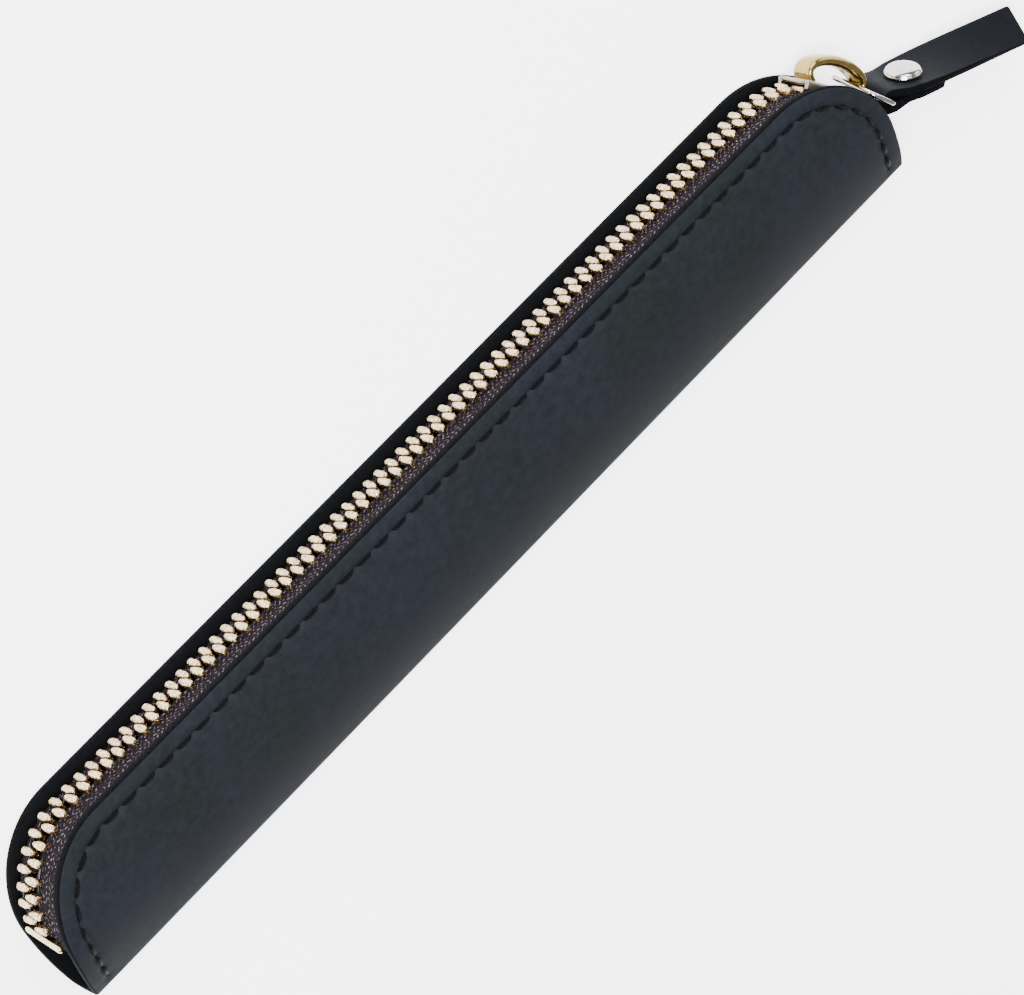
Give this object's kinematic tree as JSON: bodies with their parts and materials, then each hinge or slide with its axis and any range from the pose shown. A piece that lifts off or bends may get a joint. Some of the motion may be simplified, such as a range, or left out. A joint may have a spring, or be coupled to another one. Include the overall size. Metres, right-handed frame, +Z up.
{
  "type": "pen case",
  "caption": "Slim leather pen case, folded along the bottom, with a metal zip round the other three sides and a leather strap riveted to the slider's ring.",
  "frame": {"origin": "middle of the back panel's flat underside, on which the case lies: half way along the case and half way from the fold to the zip edge", "axes": "+X along the case from the bottom stop to the slider, +Y from the fold to the zip, +Z up from the back panel to the front panel"},
  "size_m": [0.2243, 0.0305, 0.0142],
  "materials": {
    "leather": "smooth, low sheen, fine grain",
    "tape": "woven, matt",
    "teeth": "polished pale gold",
    "stop": "polished pale gold",
    "slider": "satin pale gold",
    "crown": "polished gold",
    "silver": "polished"
  },
  "bodies": {
    "case": {"leather_body": "leather", "tape_front": "tape", "tape_back": "tape", "teeth_front": "teeth", "teeth_back": "teeth", "bottom_stop": "stop", "top_stop_front": "stop", "top_stop_back": "stop"},
    "slider": {"slider_body": "slider", "slider_crown": "crown"},
    "ring": {"pull_ring": "silver"},
    "strap": {"strap": "leather", "rivet_cap": "silver", "rivet_post": "silver"}
  },
  "joints": [
    {"name": "slider_turn", "type": "hinge", "parent": "case", "child": "slider", "pos_m": [0.076, -0.00375, 0.0055], "axis": [0, 0, 1], "range_deg": [0, 52], "deforming": ["teeth_front", "teeth_back", "tape_front", "tape_back"]},
    {"name": "ring_swing", "type": "hinge", "parent": "slider", "child": "ring", "pos_m": [0.09471, 0.00395, 0.0067], "axis": [-0.0721, -0.195, 0.9781], "range_deg": [-4, 90]},
    {"name": "strap_swing", "type": "hinge", "parent": "ring", "child": "strap", "pos_m": [0.09778, -0.00056, 0.00603], "axis": [-0.0721, -0.195, 0.9781], "range_deg": [-45, 30]}
  ]
}
